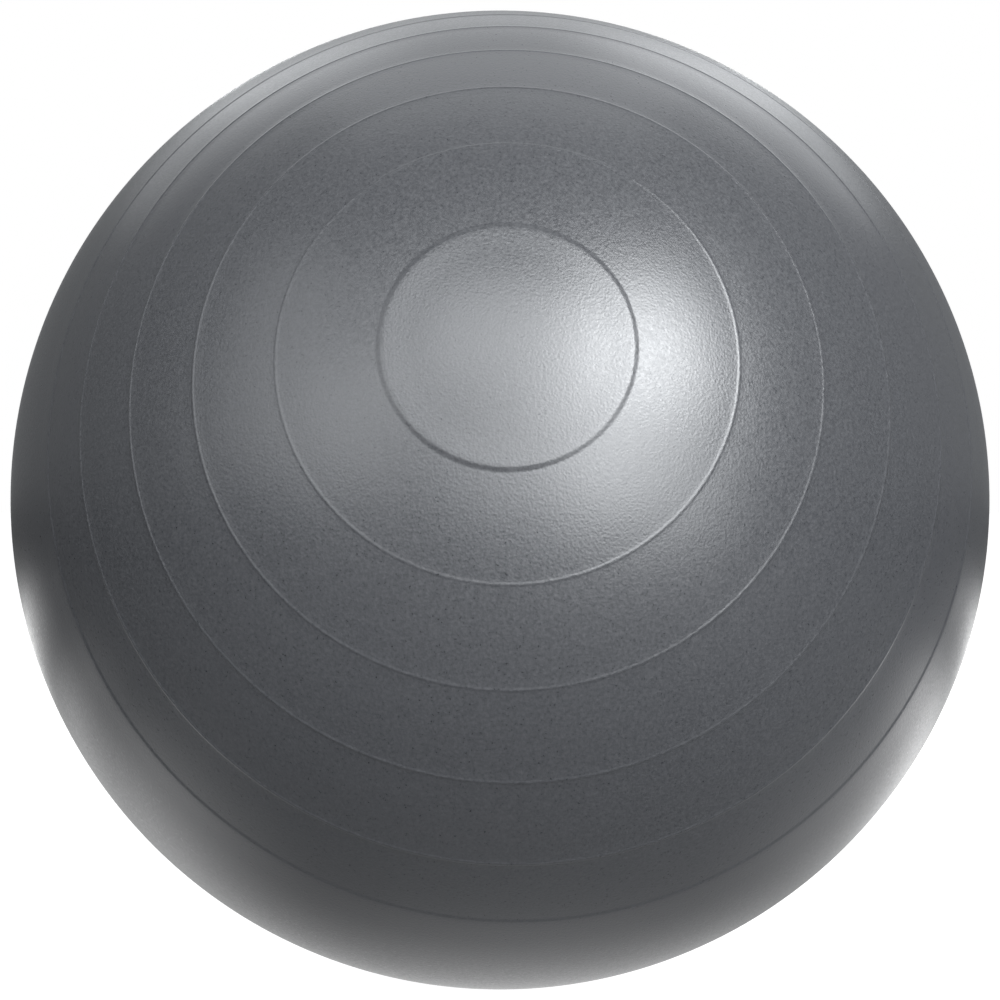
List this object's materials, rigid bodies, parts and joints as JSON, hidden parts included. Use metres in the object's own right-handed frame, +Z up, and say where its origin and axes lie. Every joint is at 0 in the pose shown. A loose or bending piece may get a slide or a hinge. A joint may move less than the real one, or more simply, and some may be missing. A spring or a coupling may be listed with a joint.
{
  "type": "exercise ball",
  "caption": "Large inflatable exercise ball with thin anti-slip ribs in rings round each pole, and a push-in plug valve in the middle of one pole.",
  "frame": {"origin": "on the floor, in the middle of the flat patch that the ball rests on, straight below the ball's centre", "axes": "+Z up; the plain pole faces -Y and looks 14.5 degrees above level, and the valve pole faces +Y and looks 14.5 degrees below level; +X to the right, seen from the plain pole's side"},
  "size_m": [0.65, 0.6499, 0.6482],
  "materials": {
    "skin": "satin dark grey soft PVC with a fine pebble grain",
    "seat": "smooth dark grey soft PVC",
    "plug": "natural off-white polyethylene"
  },
  "bodies": {
    "ball": {"ball_skin": "skin", "valve_seat": "seat"},
    "plug": {"valve_plug": "plug"}
  },
  "joints": [
    {"name": "plug_pull", "type": "slide", "parent": "ball", "child": "plug", "axis": [0, 0.9681, -0.2504], "range_m": [0, 0.03]}
  ]
}
